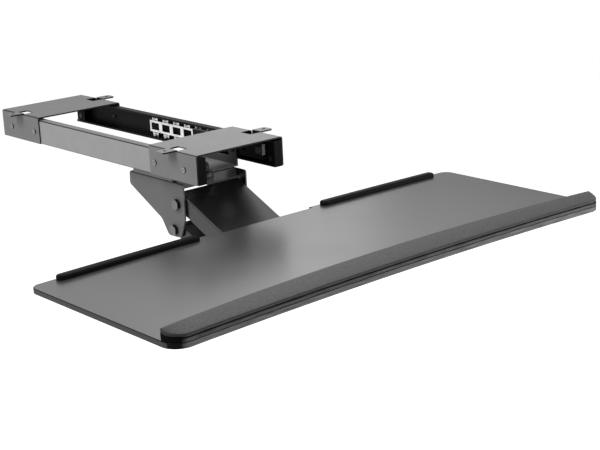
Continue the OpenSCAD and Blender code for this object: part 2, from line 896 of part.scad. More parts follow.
module arm(pivot, crown, lead, front_gap) {
    crown_at = pivot + crown * [-sin(arm_angle), cos(arm_angle)];
    run = arm_length + 4 * arm_end_r;
    difference() {
        intersection() {
            translate([0, crown_at[0], crown_at[1]])
                rotate([arm_angle, 0, 0])
                    translate([0, 2 * arm_end_r, 0])
                        rotate([90, 0, 0])
                            linear_extrude(height = run)
                                bent_sheet(2 * arm_half, crown + 2 * arm_end_r, arm_sheet,
                                    arm_bend);
            across(-arm_half - eps, 2 * arm_half + 2 * eps)
                along_arm(pivot)
                    arm_side(crown, lead);
        }
        across(-arm_inner, 2 * arm_inner)
            along_arm(pivot)
                translate([arm_length - crown_setback, 0])
                    square([crown_setback + 2 * arm_end_r, 2 * crown]);
        bar_x(-arm_half - eps, 2 * arm_half + 2 * eps, pivot, pivot_r + pivot_gap);
        bar_x(-arm_half - eps, 2 * arm_half + 2 * eps, pivot + arm_run, pivot_r + front_gap);
    }
}

module upper_arm() {
    color(arm_black)
        arm(upper_rear, upper_crown, -upper_start, pivot_gap);
}

module lower_arm() {
    color(arm_black)
        arm(lower_rear, lower_crown, lower_start, open_gap);
}

module head_plate() {
    color(arm_black)
        difference() {
            across(head_half - head_sheet, head_sheet)
                polygon(rounded([
                        [upper_front[0] + head_r, upper_front[1] + head_r],
                        [lower_front[0] + head_r, lower_front[1] - head_r],
                        [lower_front[0] - head_r, lower_front[1] - head_r],
                        [tilt_axis[0] - head_r, tilt_axis[1] - head_r],
                        [tilt_axis[0] - head_r, tilt_axis[1] + head_r]],
                    [7, 8, 8, 8, 8]));
            for (at = [upper_front, lower_front, tilt_axis])
                bar_x(head_half - head_sheet - eps, head_sheet + 2 * eps, at,
                    pivot_r + pivot_gap);
        }
}

module right_head_plate() {
    head_plate();
}

module left_head_plate() {
    mirror([1, 0, 0])
        head_plate();
}

module front_spacers() {
    color(zinc)
        for (at = [upper_front, lower_front])
            spacer(head_half - head_sheet, at);
}

module front_pivot_bolts() {
    color(bolt_black)
        for (at = [upper_front, lower_front])
            pivot_bolt(arm_half + washer_gap, at);
}

module front_pivot_nuts() {
    color(bolt_black)
        for (at = [upper_front, lower_front])
            pivot_nut(arm_half + washer_gap, at);
}

// Places of the four screws that hold the tray bracket to the board
mount_screws = [for (x = [-1, 1], y = [12, mount_depth - 12])
    [x * (mount_width / 2 - 12), mount_rear - y]];

module tray_bracket() {
    ear_front = tilt_axis[0] - mount_ear_r;
    color(arm_black)
        difference() {
            union() {
                translate([0, 0, mount_top - mount_sheet])
                    linear_extrude(height = mount_sheet)
                        polygon(rounded([
                                [-mount_width / 2, mount_rear],
                                [mount_width / 2, mount_rear],
                                [mount_width / 2, mount_rear - mount_depth],
                                [-mount_width / 2, mount_rear - mount_depth]],
                            [8, 8, 8, 8]));
                pair()
                    across(mount_half - mount_sheet, mount_sheet) {
                        translate(tilt_axis)
                            circle(r = mount_ear_r);
                        translate([ear_front, tilt_axis[1]])
                            square([2 * mount_ear_r, mount_top - tilt_axis[1] - 1]);
                    }
            }
            for (at = mount_screws)
                translate([at[0], at[1], mount_top - mount_sheet - eps])
                    cylinder(r = screw_r + screw_gap, h = mount_sheet + 2 * eps);
            bar_x(-mount_half - eps, 2 * mount_half + 2 * eps, tilt_axis, pivot_r + pivot_gap);
        }
}

// The tilt bolt runs from its head on the left to the knob on the right
knob_x = arm_half + hex_height + 6;

module tilt_bolt() {
    color(bolt_black) {
        hex_x(-head_half - hex_height, hex_height, tilt_axis);
        bar_x(-head_half - eps, head_half + eps + knob_x + knob_length / 2, tilt_axis, pivot_r);
    }
}

module tilt_knob() {
    color(plastic_black)
        difference() {
            union() {
                bar_x(head_half, knob_x - head_half + eps, tilt_axis, pivot_r + 3);
                bar_x(knob_x, knob_length, tilt_axis, knob_r * 0.8);
                for (i = [0 : knob_lobes - 1])
                    let (a = i * 360 / knob_lobes)
                        bar_x(knob_x, knob_length, tilt_axis + 0.72 * knob_r * [cos(a), sin(a)],
                            knob_r * 0.28);
            }
            bar_x(head_half - eps, knob_x - head_half + knob_length / 2 + 1, tilt_axis,
                pivot_r + pivot_gap);
        }
}

// Outline of the board, drawn in by a margin all round
module board_outline(margin) {
    half = board_half - margin;
    reach = half - 1.6 * rear_corner;
    recess = recess_width / 2 + margin;
    edge = board_rear - rear_bow - margin;
    front = board_front - front_bow + margin;
    rear_side = [for (i = [0 : 6])
        let (x = reach + (recess - reach) * i / 6) [x, edge + arch(x, board_half, rear_bow)]];
    notch = [for (i = [0 : 4])
        let (x = recess * (1 - i / 4)) [x, edge + arch(x, board_half, rear_bow) - recess_depth]];
    rear_half = concat(rear_side, notch);
    front_half = [for (i = [0 : 10])
        let (x = -reach * (1 - i / 10)) [x, front + arch(x, board_half, front_bow)]];
    points = concat(
        [[half, edge + arch(half, board_half, rear_bow)]],
        rear_half,
        [for (i = [len(rear_half) - 2 : -1 : 0]) [-rear_half[i][0], rear_half[i][1]]],
        [[-half, edge + arch(half, board_half, rear_bow)],
            [-half, front + arch(half, board_half, front_bow)]],
        front_half,
        [for (i = [9 : -1 : 0]) [-front_half[i][0], front_half[i][1]]],
        [[half, front + arch(half, board_half, front_bow)]]);
    count = len(points);
    corners = [0, 2 * len(rear_half), 2 * len(rear_half) + 1, count - 1];
    radii = [for (i = [0 : count - 1])
        i == corners[0] || i == corners[1] ? rear_corner - margin :
        i == corners[2] || i == corners[3] ? front_corner - margin : 0];
    polygon(rounded(points, radii, 12));
}

// Middle line of a rear stop at x, and of the palm rest at x
function stop_y(x) = board_rear - rear_bow + arch(x, board_half, rear_bow) - stop_depth / 2 - 0.6;
function palm_y(x) = (board_front + palm_inner) / 2 - front_bow / 2 - palm_bow / 2
    + arch(x, board_half, (front_bow + palm_bow) / 2);

// Places of the screws that hold the stops and the palm rest from below
trim_screws = concat(
    [for (side = [-1, 1], i = [0 : 2])
        let (x = side * (stop_inner + (stop_outer - stop_inner) * (i + 0.5) / 3)) [x, stop_y(x)]],
    [for (i = [-3 : 3]) let (x = i * (board_half - stop_margin) / 3) [x, palm_y(x)]]);
trim_bite = 3;
// Thickness of the board that is left over a screw from below
board_skin = 1.5;

module tray_board() {
    color(laminate)
        difference() {
            translate([0, 0, mount_top])
                linear_extrude(height = board_sheet)
                    board_outline(edge_sheet);
            for (at = mount_screws)
                translate([at[0], at[1], mount_top - eps])
                    cylinder(r = screw_r + screw_gap, h = board_sheet - board_skin + eps);
            for (at = trim_screws)
                translate([at[0], at[1], mount_top - eps])
                    cylinder(r = screw_r + screw_gap, h = board_sheet + 2 * eps);
        }
}

module edge_strip() {
    color(edge_black)
        translate([0, 0, mount_top])
            linear_extrude(height = board_sheet)
                difference() {
                    board_outline(0);
                    board_outline(edge_sheet);
                }
}

// Front and inner edge of the palm rest at x, drawn in by a margin and rounded at the corners
function palm_front(x, margin) =
    let (over = max(0, abs(x) - board_half + front_corner), r = front_corner - margin)
    board_front - front_bow + arch(x, board_half, front_bow)
        + front_corner - sqrt(max(0, pow(r, 2) - pow(over, 2)));
function palm_back(x, margin) = palm_inner - palm_bow + arch(x, board_half, palm_bow) - margin;

// Height of the wedge's slope at x and y
function wedge_z(x, y) =
    let (front = palm_front(x, 0), back = palm_back(x, 0))
    board_top + palm_base_height + palm_base_rise * (y - front) / (back - front);

palm_stations = 44;
// Places across the pad where its top is drawn, from front to back, and the roll there
pad_places = [0, 0.025, 0.08, 0.18, 0.34, 0.5, 0.66, 0.82, 0.92, 0.975, 1];
pad_rolls = [1, 0.3, 0.05, 0, 0, 0, 0, 0, 0.05, 0.3, 1];

// Outline of the wedge across its depth at x, up to a depth below its slope
function wedge_section(x, margin, foot, below) =
    let (front = palm_front(x, margin), back = palm_back(x, margin))
    [[x, back, foot], [x, front, foot], [x, front, wedge_z(x, front) - below],
        [x, back, wedge_z(x, back) - below]];

// Outline of the groove strip across its depth at x, from its low side to the wedge's slope
function groove_section(x, margin, below) =
    let (front = palm_front(x, margin), back = palm_back(x, margin))
    [[x, back, wedge_z(x, back) - below], [x, front, wedge_z(x, front) - below],
        [x, front, wedge_z(x, front)], [x, back, wedge_z(x, back)]];

// Outline of the pad across its depth: flat below and crowned on top
function pad_section(x, fall) =
    let (front = palm_front(x, 0), deep = palm_back(x, 0) - front)
    let (low_back = front + deep - pad_gap, low_front = front + pad_gap)
    concat(
        [[x, low_back, wedge_z(x, low_back) + pad_gap],
            [x, low_front, wedge_z(x, low_front) + pad_gap]],
        [for (j = [0 : len(pad_places) - 1])
            let (s = pad_places[j], y = front + deep * s)
            let (crown = pad_crown * (1 - pow(2 * s - 1, 2)))
                [x, y, wedge_z(x, y) + pad_gap + pad_sheet + crown
                    - pad_roll * max(pad_rolls[j], fall)]]);

// Solid through a row of outlines with the same number of points
module skin(sections) {
    ring = len(sections[0]);
    last = len(sections) - 1;
    sides = [for (i = [0 : last - 1], j = [0 : ring - 1])
        let (a = i * ring + j, b = i * ring + (j + 1) % ring, c = b + ring, d = a + ring)
            each [[a, b, c], [a, c, d]]];
    start = [for (j = [1 : ring - 2]) [0, j + 1, j]];
    end = [for (j = [1 : ring - 2]) [last * ring, last * ring + j, last * ring + j + 1]];
    polyhedron(points = [for (s = sections, p = s) p], faces = concat(sides, start, end));
}

// Places along a piece that ends at x = last, closer together near its ends
function stations(last) =
    [for (i = [0 : palm_stations]) last * sin(90 * (i / palm_stations * 2 - 1))];

module palm_base() {
    groove = 1;
    color(plastic_black)
        difference() {
            union() {
                skin([for (x = stations(board_half)) wedge_section(x, 0, board_top, groove)]);
                skin([for (x = stations(board_half - groove_setback))
                    groove_section(x, groove_setback, groove + eps)]);
            }
            for (at = trim_screws)
                translate([at[0], at[1], board_top - eps])
                    cylinder(r = screw_r + screw_gap, h = trim_bite + eps);
        }
}

module palm_pad() {
    last = board_half - pad_gap;
    color(soft_black)
        skin([for (x = stations(last)) pad_section(x, abs(x) == last ? 1 : 0)]);
}

// Rear stop: a rounded bar that follows the rear edge of the board
module rear_stop() {
    steps = 12;
    front = [for (i = [0 : steps])
        let (x = stop_inner + (stop_outer - stop_inner) * i / steps) [x, stop_y(x) - stop_depth / 2]];
    back = [for (i = [steps : -1 : 0]) front[i] + [0, stop_depth]];
    slim_front = [for (i = [0 : steps])
        let (x = stop_inner + 2 + (stop_outer - stop_inner - 4) * i / steps)
            [x, stop_y(x) - stop_depth / 2 + 2]];
    slim_back = [for (i = [steps : -1 : 0]) slim_front[i] + [0, stop_depth - 4]];
    count = 2 * steps + 2;
    ends = [for (i = [0 : count - 1])
        i == 0 || i == steps || i == steps + 1 || i == count - 1 ? 1 : 0];
    translate([0, 0, board_top])
        difference() {
            union() {
                linear_extrude(height = stop_height - 1.4)
                    polygon(rounded(concat(front, back), ends * (stop_depth / 2 - 0.8)));
                translate([0, 0, stop_height - 1.4 - eps])
                    linear_extrude(height = 1.4 + eps)
                        polygon(rounded(concat(slim_front, slim_back), ends * (stop_depth / 2 - 2.6)));
            }
            for (at = trim_screws)
                translate([at[0], at[1], -eps])
                    cylinder(r = screw_r + screw_gap, h = trim_bite + eps);
        }
}

module right_stop() {
    color(plastic_black)
        rear_stop();
}

module left_stop() {
    color(plastic_black)
        mirror([1, 0, 0])
            rear_stop();
}

// Screw that points up, with the underside of its head at z
module screw_up(at, z, length) {
    translate([at[0], at[1], z])
        cylinder(r = screw_r, h = length);
    translate([at[0], at[1], z - screw_head])
        difference() {
            cylinder(r = screw_head_r, h = screw_head);
            for (turn = [0, 90])
                rotate([0, 0, turn])
                    translate([-screw_r, -0.35, -screw_head / 2])
                        cube([2 * screw_r, 0.7, screw_head]);
        }
}

module tray_screws() {
    color(bolt_black) {
        for (at = mount_screws)
            screw_up(at, mount_top - mount_sheet, mount_sheet + board_sheet - board_skin - 0.5);
        for (at = trim_screws)
            screw_up(at, mount_top, board_sheet + trim_bite - 0.5);
    }
}

front_bracket();
rear_bracket();
left_rail();
right_rail();
bracket_screws();
rear_stop_blocks();
front_stop_blocks();
stop_rivets();
left_ball_cage();
right_ball_cage();
bearing_balls();
left_runner();
right_runner();
carriage();
runner_screws();
runner_catches();
arm_base();
friction_disc();
swivel_bolt();
swivel_nut();
rear_pivot_bolts();
rear_pivot_nuts();
pivot_washers();
rear_spacers();
upper_arm();
lower_arm();
left_head_plate();
right_head_plate();
front_spacers();
front_pivot_bolts();
front_pivot_nuts();
tray_bracket();
tilt_bolt();
tilt_knob();
tray_board();
edge_strip();
palm_base();
palm_pad();
left_stop();
right_stop();
tray_screws();
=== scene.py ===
import json
import math

import bmesh
import bpy
from mathutils import Matrix, Vector


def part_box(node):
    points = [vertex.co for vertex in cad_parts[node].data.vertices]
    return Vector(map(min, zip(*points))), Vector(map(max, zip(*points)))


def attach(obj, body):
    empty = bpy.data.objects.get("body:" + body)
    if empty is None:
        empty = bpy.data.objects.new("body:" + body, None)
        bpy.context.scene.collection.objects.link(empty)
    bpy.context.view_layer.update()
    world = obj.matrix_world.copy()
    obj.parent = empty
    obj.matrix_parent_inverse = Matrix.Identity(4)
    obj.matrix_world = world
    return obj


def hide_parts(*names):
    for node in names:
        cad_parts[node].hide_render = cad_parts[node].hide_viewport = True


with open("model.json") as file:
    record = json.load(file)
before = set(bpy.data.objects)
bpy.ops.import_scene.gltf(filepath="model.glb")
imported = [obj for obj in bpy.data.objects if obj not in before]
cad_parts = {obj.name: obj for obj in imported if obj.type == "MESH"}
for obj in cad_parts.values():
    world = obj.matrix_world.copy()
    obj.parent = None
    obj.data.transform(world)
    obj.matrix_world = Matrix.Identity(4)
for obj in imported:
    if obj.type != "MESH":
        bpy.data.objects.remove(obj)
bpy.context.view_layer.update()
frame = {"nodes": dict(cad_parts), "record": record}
nodes = frame["nodes"]

# Sizes of the tray in metres; its width, levels and place come from the frame's own boxes
MM = 0.001
band_low, band_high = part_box("edge_strip")
palm_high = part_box("palm_base")[1]
stop_low, stop_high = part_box("right_stop")

PALM_INNER = palm_high.y
PALM_DEPTH = 34 * MM
PALM_BOW = 21.5 * MM
PALM_BASE = 6 * MM
PALM_RISE = 5 * MM
PALM_CORNER = 2.4 * MM
LEAST_PALM_CORNER = 0.5 * MM
PALM_END = 30 * MM
PAD_SHEET = 2.4 * MM
PAD_CROWN = 0.8 * MM
PAD_ROLL = 1 * MM
PAD_GAP = 0.3 * MM
PAD_SIDE = 0.1 * MM
PAD_INSET = 3 * MM

BOARD_HALF = band_high.x
BOARD_UNDER = band_low.z
BOARD_TOP = band_high.z
BOARD_DEPTH = 272.5 * MM
BOARD_FRONT = PALM_INNER - PALM_DEPTH
BOARD_REAR = BOARD_FRONT + BOARD_DEPTH
REAR_BOW = 7.5 * MM
FRONT_BOW = 12 * MM
REAR_CORNER = 14 * MM
CORNER_REACH = 1.6 * REAR_CORNER
FRONT_CORNER = 21 * MM
RECESS_HALF = 86 * MM
RECESS_DEPTH = 5.5 * MM
RECESS_CORNER = 0.8 * MM

STOP_INNER = stop_low.x
STOP_OUTER = stop_high.x
STOP_TOP = stop_high.z
STOP_DEPTH = 13 * MM
STOP_SETBACK = 0.6 * MM
STOP_END_FLAT = 0.8 * MM
LEAST_STOP_CORNER = 0.4 * MM

# Steps along the outlines and round their corners
REAR_STEPS = 24
FRONT_STEPS = 60
BOARD_ROUND = 12
PALM_STEPS = 72
PALM_ROUND = 14
STOP_STEPS = 24
STOP_ROUND = 8
ROLL_STEPS = 6

# Profiles in mm. The band's edge and the feet of base and pad are pairs of margin and height
# over the face they start from, the rim and the stop's top are pairs of margin and drop.
BAND_EDGE = ((1.0, 0.0), (0.35, 0.12), (0.08, 0.45), (0.0, 0.9))
BASE_FOOT = ((0.5, 0.0), (0.5, 0.4), (0.0, 0.8))
BASE_RIM = ((0.0, 2.0), (0.9, 1.05), (1.2, 1.0), (1.2, 0.0))
PAD_FOOT = ((1.2, 0.0), (0.4, 0.1), (0.1, 0.6))
STOP_CROWN = ((0.0, 2.6), (0.15, 1.9), (0.6, 1.2), (1.4, 0.6), (2.6, 0.2), (4.0, 0.0))


# Materials

# Most of a noise's values lie in this range
NOISE_LOW = 0.3
NOISE_HIGH = 0.7
# Slight blue in every grey
TINT = 1.02
# Radii of the softened edges, and their samples
PAINT_EDGE = 0.25 * MM
STEEL_EDGE = 0.3 * MM
PLASTIC_EDGE = 0.3 * MM
EDGE_SAMPLES = 4
# Depths of the surfaces' relief
ORANGE_PEEL = 0.012 * MM
DRAWN_LINE = 0.008 * MM
LAMINATE_PRESS = 0.003 * MM
SKIN_CREASE = 0.05 * MM
SKIN_PORE = 0.012 * MM
SKIN_WAVE = 0.1 * MM
# Stretches of the coordinates: none, lines along a slide and lines across the tray
EVEN = (1, 1, 1)
ALONG_SLIDE = (1, 0.05, 1)
ACROSS_TRAY = (0.05, 1, 1)


def empty_material(name):
    mat = bpy.data.materials.new(name)
    mat.use_nodes = True
    tree = mat.node_tree
    tree.nodes.clear()
    out = tree.nodes.new("ShaderNodeOutputMaterial")
    return mat, tree, out.inputs["Surface"]


def new_material(name):
    mat, tree, surface = empty_material(name)
    shader = tree.nodes.new("ShaderNodeBsdfPrincipled")
    tree.links.new(shader.outputs["BSDF"], surface)
    return mat, tree, shader


def coordinates(tree, stretch=EVEN):
    place = tree.nodes.new("ShaderNodeTexCoord")
    mapping = tree.nodes.new("ShaderNodeMapping")
    mapping.inputs["Scale"].default_value = stretch
    tree.links.new(place.outputs["Object"], mapping.inputs["Vector"])
    return mapping.outputs["Vector"]


def axes(tree, kind):
    """X, Y and Z of the piece's own Object place or Normal."""
    place = tree.nodes.new("ShaderNodeTexCoord")
    split = tree.nodes.new("ShaderNodeSeparateXYZ")
    tree.links.new(place.outputs[kind], split.inputs[0])
    return split.outputs


def noise(tree, where, scale, detail, rough=0.5):
    node = tree.nodes.new("ShaderNodeTexNoise")
    node.inputs["Scale"].default_value = scale
    node.inputs["Detail"].default_value = detail
    node.inputs["Roughness"].default_value = rough
    tree.links.new(where, node.inputs["Vector"])
    return node.outputs["Fac"]


def cells(tree, where, feature, scale):
    node = tree.nodes.new("ShaderNodeTexVoronoi")
    node.feature = feature
    node.inputs["Scale"].default_value = scale
    tree.links.new(where, node.inputs["Vector"])
    return node.outputs["Distance"]


def ramp(tree, value, low, high, from_low=NOISE_LOW, from_high=NOISE_HIGH):
    node = tree.nodes.new("ShaderNodeMapRange")
    node.inputs["From Min"].default_value = from_low
    node.inputs["From Max"].default_value = from_high
    node.inputs["To Min"].default_value = low
    node.inputs["To Max"].default_value = high
    tree.links.new(value, node.inputs["Value"])
    return node.outputs["Result"]


def about(tree, value, middle, swing):
    """Number that varies about a middle by a swing to each side."""
    return ramp(tree, value, middle - swing, middle + swing)


def grey(value):
    return (value, value, value * TINT)


def tones(tree, value, tone, darker, lighter):
    """Greys that vary between two shares of a tone."""
    node = tree.nodes.new("ShaderNodeValToRGB")
    dark, light = node.color_ramp.elements
    dark.position = NOISE_LOW
    dark.color = (*grey(tone * darker), 1)
    light.position = NOISE_HIGH
    light.color = (*grey(tone * lighter), 1)
    tree.links.new(value, node.inputs["Fac"])
    return node.outputs["Color"]


def bumps(tree, shader, layers, edge=0.0):
    """Adds height layers of (value, depth in metres) over a softened edge of that radius."""
    normal = None
    if edge:
        bevel = tree.nodes.new("ShaderNodeBevel")
        bevel.samples = EDGE_SAMPLES
        bevel.inputs["Radius"].default_value = edge
        normal = bevel.outputs["Normal"]
    for value, depth in layers:
        bump = tree.nodes.new("ShaderNodeBump")
        bump.inputs["Strength"].default_value = 1.0
        bump.inputs["Distance"].default_value = depth
        tree.links.new(value, bump.inputs["Height"])
        if normal is not None:
            tree.links.new(normal, bump.inputs["Normal"])
        normal = bump.outputs["Normal"]
    tree.links.new(normal, shader.inputs["Normal"])


def maths(tree, kind, first, second=None):
    node = tree.nodes.new("ShaderNodeMath")
    node.operation = kind
    for socket, value in zip(node.inputs, (first, second)):
        if isinstance(value, (int, float)):
            socket.default_value = value
        elif value is not None:
            tree.links.new(value, socket)
    return node.outputs[0]


def mix_tone(tree, share, first, second):
    """Colour that goes from first to second as share goes from 0 to 1."""
    node = tree.nodes.new("ShaderNodeMix")
    node.data_type = "RGBA"
    tree.links.new(share, node.inputs["Factor"])
    for name, value in (("A", first), ("B", second)):
        socket = [s for s in node.inputs if s.name == name and s.type == "RGBA"][0]
        if isinstance(value, tuple):
            socket.default_value = (*value, 1)
        else:
            tree.links.new(value, socket)
    return [s for s in node.outputs if s.type == "RGBA"][0]


def facing_front(tree):
    """Share of the faces that look at the user."""
    return ramp(tree, axes(tree, "Normal")["Y"], 0, 1, from_low=-0.88, from_high=-0.99)


def lit_face_share(tree, top, front):
    """Share of a sheet's faces that take painted light: those that look away from the middle,
    and with the given weights its top and its front. The inner faces, cut edges and the folds
    between them stay dark, as painted shade."""
    place = axes(tree, "Object")
    turn = axes(tree, "Normal")
    side = maths(tree, "MULTIPLY", maths(tree, "SIGN", place["X"]), turn["X"])
    side = maths(tree, "MAXIMUM", side, maths(tree, "MULTIPLY", turn["Z"], top))
    side = maths(tree, "MAXIMUM", side, maths(tree, "MULTIPLY", turn["Y"], -front))
    return ramp(tree, side, 0, 1, from_low=0.74, from_high=0.95)


def painted_steel(name, tone, rough, gloss, dark=None, top=1, front=0, bend=0):
    """Powder coat with a fine orange peel. Where dark is given, it is painted shade: the tone of
    the sheet's cut edges, inner faces and folds, darkened for the shade that falls there, and
    top and front say how far its top and front take the painted light of the outer faces. Bend
    is added to the roughness in the folds, where the coat is duller."""
    mat, tree, shader = new_material(name)
    where = coordinates(tree)
    fine = noise(tree, where, scale=1400, detail=2)
    cloud = noise(tree, where, scale=35, detail=4)
    color = tones(tree, cloud, tone, darker=0.96, lighter=1.04)
    # Painted shade on the inner faces, cut edges and folds, painted light on the faces that look
    # out
    if dark is not None:
        color = mix_tone(tree, lit_face_share(tree, top, front), grey(dark), color)
    tree.links.new(color, shader.inputs["Base Color"])
    dull = about(tree, fine, rough, 0.05)
    if bend:
        folds = ramp(tree, lit_face_share(tree, top, front), bend, 0, from_low=0, from_high=1)
        dull = maths(tree, "ADD", dull, folds)
    tree.links.new(dull, shader.inputs["Roughness"])
    shader.inputs["Specular IOR Level"].default_value = gloss
    peel = noise(tree, where, scale=700, detail=2)
    bumps(tree, shader, [(peel, ORANGE_PEEL), (fine, ORANGE_PEEL / 2)], PAINT_EDGE)
    return mat


def drawn_steel(name, tone, rough, metal, along=EVEN, edge=STEEL_EDGE, dark=None, front=0):
    """Steel with faint lines along its drawing direction. Where dark is given, it is painted
    shade: the tone of the faces that don't look out to the sides or the front, darkened for the
    shade they lie in."""
    mat, tree, shader = new_material(name)
    lines = noise(tree, coordinates(tree, along), scale=900, detail=3)
    cloud = noise(tree, coordinates(tree), scale=60, detail=3)
    color = tones(tree, cloud, tone, darker=0.88, lighter=1.1)
    # Painted shade on the faces that don't look out to the sides or the front
    if dark is not None:
        color = mix_tone(tree, lit_face_share(tree, 0, front), grey(dark), color)
    tree.links.new(color, shader.inputs["Base Color"])
    tree.links.new(about(tree, lines, rough, 0.07), shader.inputs["Roughness"])
    shader.inputs["Metallic"].default_value = metal
    bumps(tree, shader, [(lines, DRAWN_LINE)], edge)
    return mat


def moulded_plastic(name, tone, rough, gloss, grain, depth, front=None, side=None):
    """Moulded surface with a fine spark-eroded grain. Where front is given, it is the lighter
    tone of the faces to the user, a painted light, with faint lines along the tray; side is the
    lighter tone of the faces at both ends, a painted light too."""
    mat, tree, shader = new_material(name)
    where = coordinates(tree)
    cloud = noise(tree, where, scale=45, detail=3)
    color = tones(tree, cloud, tone, darker=0.88, lighter=1.12)
    # Painted light: the faces at both ends take the lighter side tone
    if side is not None:
        ends = ramp(tree, lit_face_share(tree, 0, 0), 0, 1, from_low=0.85, from_high=1)
        color = mix_tone(tree, ends, color, grey(side))
    # Painted light: the faces to the user take the lighter front tone, with faint lines along
    # the tray
    if front is not None:
        lines = noise(tree, coordinates(tree, ACROSS_TRAY), scale=700, detail=3)
        lines_and_lit_front = tones(tree, lines, front, darker=0.6, lighter=1.4)
        color = mix_tone(tree, facing_front(tree), color, lines_and_lit_front)
    tree.links.new(color, shader.inputs["Base Color"])
    dull = noise(tree, where, scale=grain * 0.6, detail=2)
    tree.links.new(about(tree, dull, rough, 0.06), shader.inputs["Roughness"])
    shader.inputs["Specular IOR Level"].default_value = gloss
    bumps(tree, shader, [(cells(tree, where, "F1", grain), depth)], PLASTIC_EDGE)
    return mat


def board_laminate(name, tone, rough, gloss):
    """Satin laminate with a faint pebbled press and a slight cloudiness. Its roughness stays
    above 0.275, because the denoiser draws contours where it crosses that value."""
    mat, tree, shader = new_material(name)
    where = coordinates(tree)
    cloud = noise(tree, where, scale=9, detail=4)
    speck = noise(tree, where, scale=240, detail=3)
    press = noise(tree, where, scale=500, detail=2)
    color = tones(tree, speck, tone, darker=0.93, lighter=1.07)
    tree.links.new(color, shader.inputs["Base Color"])
    tree.links.new(about(tree, cloud, rough, 0.02), shader.inputs["Roughness"])
    shader.inputs["Specular IOR Level"].default_value = gloss
    bumps(tree, shader, [(press, LAMINATE_PRESS)])
    return mat


def padded_skin(name, tone, rough, gloss, rim):
    """Soft leather-like skin: small pebbles with finer creases between them. Rim is the tone
    of the turned-down edge."""
    mat, tree, shader = new_material(name)
    where = coordinates(tree)
    gaps = cells(tree, where, "DISTANCE_TO_EDGE", scale=950)
    creases = ramp(tree, gaps, 0, 1, from_low=0, from_high=0.16)
    pores = noise(tree, where, scale=2600, detail=2)
    waves = noise(tree, where, scale=60, detail=2)
    mottle = noise(tree, where, scale=330, detail=5, rough=0.65)
    flat = ramp(tree, axes(tree, "Normal")["Z"], 0, 1, from_low=0.6, from_high=0.92)
    skin = tones(tree, mottle, tone, darker=0.55, lighter=1.45)
    color = mix_tone(tree, flat, grey(rim), skin)
    tree.links.new(color, shader.inputs["Base Color"])
    tree.links.new(about(tree, pores, rough, 0.07), shader.inputs["Roughness"])
    shader.inputs["Specular IOR Level"].default_value = gloss
    shader.inputs["Sheen Weight"].default_value = 0.08
    shader.inputs["Sheen Roughness"].default_value = 0.5
    bumps(tree, shader, [(creases, SKIN_CREASE), (pores, SKIN_PORE), (waves, SKIN_WAVE)])
    return mat


# One material for each slot of the record. Where dark, top, front or side is given, it paints in
# light and shade: pale faces where light falls, dark inner faces, cut edges and folds where
# shade falls.
MATERIALS = {
    "black_steel": painted_steel("black_steel", tone=0.18, rough=0.45, gloss=0.12, dark=0.006),
    "arm_steel": painted_steel("arm_steel", tone=0.01, rough=0.24, gloss=0.5, bend=0.4),
    "rail_steel": painted_steel("rail_steel", tone=0.35, rough=0.45, gloss=0.05, dark=0.01,
                                top=0.85),
    "dark_fastener": drawn_steel("dark_fastener", tone=0.16, rough=0.3, metal=0.6, dark=0.008),
    "galvanised_steel": drawn_steel("galvanised_steel", tone=0.8, rough=0.35, metal=1.0,
                                    along=ALONG_SLIDE),
    "ball_steel": drawn_steel("ball_steel", tone=0.3, rough=0.12, metal=1.0, edge=0),
    "slip_plastic": moulded_plastic("slip_plastic", tone=0.08, rough=0.5, gloss=0.5, grain=900,
                                    depth=0.02 * MM),
    "black_plastic": moulded_plastic("black_plastic", tone=0.004, rough=0.42, gloss=0.03,
                                     grain=1100, depth=0.02 * MM),
    "laminate": board_laminate("laminate", tone=0.043, rough=0.3, gloss=0.8),
    "edge_plastic": moulded_plastic("edge_plastic", tone=0.006, rough=0.35, gloss=0.04,
                                    grain=1300, depth=0.01 * MM, front=0.155, side=0.07),
    "pad_plastic": moulded_plastic("pad_plastic", tone=0.005, rough=0.35, gloss=0.012,
                                   grain=1100, depth=0.02 * MM, front=0.11),
    "pad_leather": padded_skin("pad_leather", tone=0.043, rough=0.55, gloss=0.25, rim=0.008),
}
# The stop bars are pad plastic without the front faces' painted light and faint lines
STOP_PLASTIC = moulded_plastic("stop_plastic", tone=0.009, rough=0.35, gloss=0.02, grain=1100,
                               depth=0.02 * MM)
# Lit and shaded copies of their slot's materials: pieces whose tone differs from the rest of
# their slot, with their own painted light and painted shade on tops, fronts, inner faces and cut
# edges, for the light that falls on each
LIT_AND_SHADED_COPIES = {
    "arm_base": painted_steel("base_steel", tone=0.135, rough=0.45, gloss=0.2, dark=0.012,
                              top=0, front=1),
    "bracket_screws": drawn_steel("screw_steel", tone=0.3, rough=0.3, metal=0.6, dark=0.01),
    "runner_catches": drawn_steel("catch_steel", tone=0.9, rough=0.35, metal=0.3,
                                  along=ALONG_SLIDE, dark=0.03, front=1),
    "carriage": painted_steel("carriage_steel", tone=0.2, rough=0.42, gloss=0.3, dark=0.05),
    "front_bracket": painted_steel("front_steel", tone=0.21, rough=0.45, gloss=0.12,
                                   dark=0.006),
    "rear_bracket": painted_steel("rear_steel", tone=0.2, rough=0.45, gloss=0.12, dark=0.006,
                                  top=0.885),
    "right_rail": painted_steel("far_rail_steel", tone=0.35, rough=0.45, gloss=0.04,
                                dark=0.008, top=0),
}

for part in frame["record"]["subparts"]:
    mesh = nodes[part["node"]].data
    mesh.materials.clear()
    mesh.materials.append(LIT_AND_SHADED_COPIES.get(part["node"], MATERIALS[part["material_slot"]]))


# Outlines

def arch(x, bow):
    """Rise of an edge that bows by that much between the board's ends."""
    return bow * (1 - (x / BOARD_HALF) ** 2)


def rear_edge(x, margin):
    return BOARD_REAR - REAR_BOW - margin + arch(x, REAR_BOW)


def front_edge(x, margin):
    return BOARD_FRONT - FRONT_BOW + margin + arch(x, FRONT_BOW)


